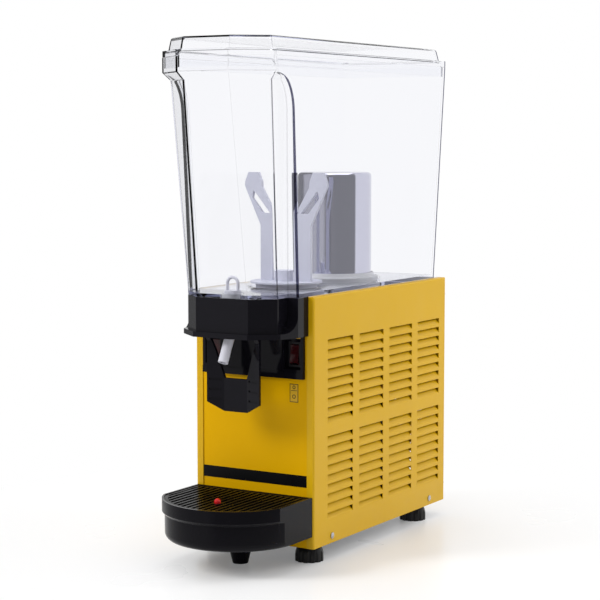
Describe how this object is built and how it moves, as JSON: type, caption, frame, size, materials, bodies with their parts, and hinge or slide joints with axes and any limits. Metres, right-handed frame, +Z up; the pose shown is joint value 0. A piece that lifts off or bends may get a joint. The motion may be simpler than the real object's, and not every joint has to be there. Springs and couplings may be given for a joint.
{
  "type": "cold drink dispenser",
  "caption": "Counter-top cold drink dispenser: clear tank with chilled cylinder and magnetic stirrer over a louvred yellow cabinet, with a lever tap and drip tray",
  "frame": {"origin": "on the table under the middle of the object's outline", "axes": "+Z up, -Y out of the tap side, +X to the right as seen by the person at the tap"},
  "size_m": [0.1848, 0.514, 0.668],
  "materials": {
    "yellow_paint": "smooth yellow stove enamel",
    "zinc_sheet": "zinc-plated sheet",
    "black_gloss": "shiny black moulding",
    "black_matte": "fine matt black",
    "foot_rubber": "black rubber",
    "dark_red": "translucent dark red",
    "float_red": "bright red",
    "sticker_face": "printed film",
    "clear_plastic": "clear polycarbonate",
    "polished_steel": "polished stainless steel",
    "white_plastic": "smooth white moulding",
    "pale_rubber": "pale grey food rubber",
    "magnet": "plain ferrite",
    "grey_metal": "die-cast grey",
    "black_enamel": "black enamel",
    "fin_metal": "bare fins",
    "copper_tube": "drawn copper",
    "foam": "rigid foam"
  },
  "bodies": {
    "cabinet": {"base_pan": "zinc_sheet", "front_panel": "yellow_paint", "side_panel_left": "yellow_paint", "side_panel_right": "yellow_paint", "rear_panel": "yellow_paint", "top_deck": "yellow_paint", "deck_insulation": "foam", "nose_collar": "black_gloss", "control_fascia": "black_gloss", "switch_body_left": "black_matte", "switch_body_right": "black_matte", "label_strip": "black_matte", "pictogram_sticker": "sticker_face", "side_screws": "polished_steel", "rear_screws": "polished_steel", "evaporator_can": "polished_steel", "evaporator_seal": "pale_rubber", "evaporator_coil": "copper_tube", "gear_motor": "grey_metal", "motor_bracket": "zinc_sheet", "spout": "white_plastic", "lever_pin": "polished_steel", "lever_springs": "polished_steel", "compressor": "black_enamel", "compressor_grommets": "foot_rubber", "relay_box": "black_matte", "condenser": "fin_metal", "fan_shroud": "zinc_sheet", "fan_motor": "grey_metal", "filter_drier": "copper_tube", "discharge_tube": "copper_tube", "liquid_tube": "copper_tube", "capillary_tube": "copper_tube", "suction_tube": "copper_tube", "thermostat": "white_plastic", "cable_gland": "black_matte"},
    "tank_body": {"tank": "clear_plastic", "spout_gasket": "pale_rubber", "stirrer_pin": "polished_steel"},
    "lid": {"tank_lid": "clear_plastic"},
    "stirrer": {"stirrer_paddle": "white_plastic", "stirrer_magnets": "magnet"},
    "rotor": {"drive_rotor": "grey_metal"},
    "lever": {"tap_lever": "black_gloss"},
    "plunger": {"tap_plunger": "white_plastic", "plunger_seal": "pale_rubber", "plunger_cross_pin": "polished_steel"},
    "switch_left": {"rocker_left": "dark_red"},
    "switch_right": {"rocker_right": "dark_red"},
    "tray": {"drip_tray": "black_gloss"},
    "grille": {"drip_grille": "black_gloss"},
    "float": {"tray_float": "float_red"},
    "fan": {"fan_blade": "white_plastic"},
    "foot_fl": {"foot_front_left": "foot_rubber"},
    "foot_fr": {"foot_front_right": "foot_rubber"},
    "foot_rl": {"foot_rear_left": "foot_rubber"},
    "foot_rr": {"foot_rear_right": "foot_rubber"},
    "knob": {"thermostat_spindle": "white_plastic"}
  },
  "joints": [
    {"name": "tank_lift", "type": "slide", "parent": "cabinet", "child": "tank_body", "axis": [0, 0, 1], "range_m": [0, 0.165]},
    {"name": "lid_lift", "type": "slide", "parent": "tank_body", "child": "lid", "axis": [0, 0, 1], "range_m": [0, 0.08]},
    {"name": "rotor_spin", "type": "hinge", "parent": "cabinet", "child": "rotor", "pos_m": [0, -0.041, 0.327], "axis": [0, 0, 1], "continuous": true},
    {"name": "stirrer_spin", "type": "hinge", "parent": "tank_body", "child": "stirrer", "pos_m": [0, -0.041, 0.351], "axis": [0, 0, 1], "continuous": true},
    {"name": "lever_press", "type": "hinge", "parent": "cabinet", "child": "lever", "pos_m": [0, -0.182, 0.317], "axis": [1, 0, 0], "range_deg": [0, 12], "stiffness_Nm_per_rad": 0.5, "springref_deg": -11.46},
    {"name": "plunger_lift", "type": "slide", "parent": "cabinet", "child": "plunger", "axis": [0, 0, 1], "range_m": [0, 0.003], "deforming": ["lever_springs"]},
    {"name": "rocker_left_tip", "type": "hinge", "parent": "cabinet", "child": "switch_left", "pos_m": [-0.06, -0.112, 0.2695], "axis": [1, 0, 0], "range_deg": [0, 14]},
    {"name": "rocker_right_tip", "type": "hinge", "parent": "cabinet", "child": "switch_right", "pos_m": [0.06, -0.112, 0.2695], "axis": [1, 0, 0], "range_deg": [0, 14]},
    {"name": "tray_lift", "type": "slide", "parent": "cabinet", "child": "tray", "axis": [0, 0, 1], "range_m": [0, 0.01]},
    {"name": "grille_lift", "type": "slide", "parent": "tray", "child": "grille", "axis": [0, 0, 1], "range_m": [0, 0.05]},
    {"name": "float_rise", "type": "slide", "parent": "tray", "child": "float", "axis": [0, 0, 1], "range_m": [0, 0.012]},
    {"name": "fan_spin", "type": "hinge", "parent": "cabinet", "child": "fan", "pos_m": [0, -0.024, 0.119], "axis": [0, 1, 0], "continuous": true},
    {"name": "thermostat_turn", "type": "hinge", "parent": "cabinet", "child": "knob", "pos_m": [0.058, 0.24, 0.306], "axis": [0, 1, 0], "range_deg": [0, 270]},
    {"name": "foot_fl_turn", "type": "hinge", "parent": "cabinet", "child": "foot_fl", "pos_m": [-0.0685, -0.095, 0.011], "axis": [0, 0, 1], "continuous": true},
    {"name": "foot_fr_turn", "type": "hinge", "parent": "cabinet", "child": "foot_fr", "pos_m": [0.0685, -0.095, 0.011], "axis": [0, 0, 1], "continuous": true},
    {"name": "foot_rl_turn", "type": "hinge", "parent": "cabinet", "child": "foot_rl", "pos_m": [-0.0685, 0.193, 0.011], "axis": [0, 0, 1], "continuous": true},
    {"name": "foot_rr_turn", "type": "hinge", "parent": "cabinet", "child": "foot_rr", "pos_m": [0.0685, 0.193, 0.011], "axis": [0, 0, 1], "continuous": true}
  ],
  "couplings": [
    {"joint": "stirrer_spin", "follows": "rotor_spin", "ratio": 1},
    {"joint": "plunger_lift", "follows": "lever_press", "m_per_rad": 0.014}
  ]
}
